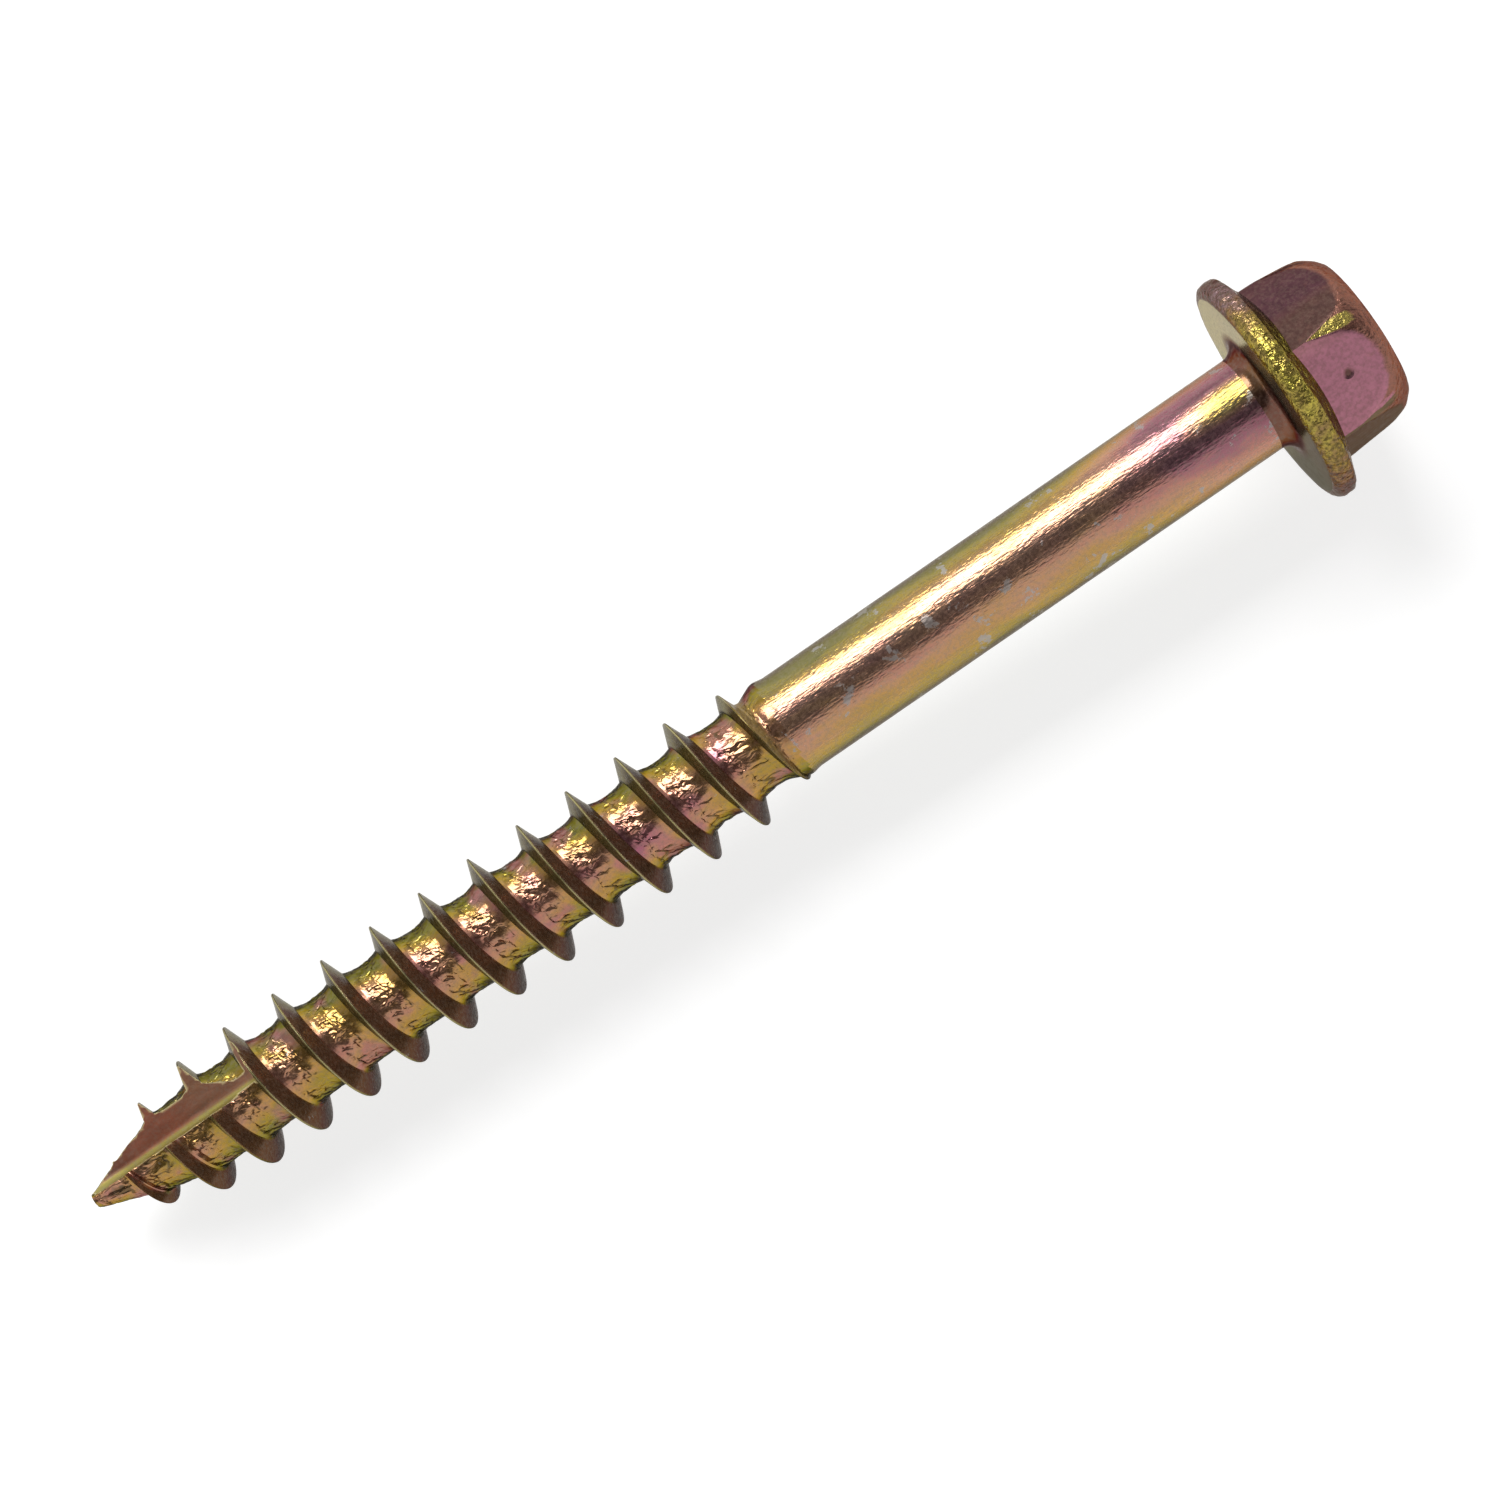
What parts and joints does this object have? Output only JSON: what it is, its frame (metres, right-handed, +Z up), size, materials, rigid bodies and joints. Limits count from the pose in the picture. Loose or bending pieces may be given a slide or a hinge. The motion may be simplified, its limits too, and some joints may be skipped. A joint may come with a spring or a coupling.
{
  "type": "lag screw",
  "caption": "Lag screw with a hexagon flange head, a plain shank, a coarse wood thread and a notched self-drilling point.",
  "frame": {"origin": "on the resting surface, under the middle of the overall length", "axes": "+Z up; the head points towards +X and the point towards -X; the screw lies on its flange rim and a thread crest, so its axis leans 2.56 degrees down towards the point in the XZ plane"},
  "size_m": [0.1086, 0.0178, 0.0179],
  "materials": {
    "yellow_zinc": "yellow passivated zinc plate over rolled steel"
  },
  "bodies": {
    "root": {"lag_screw": "yellow_zinc"}
  },
  "joints": []
}
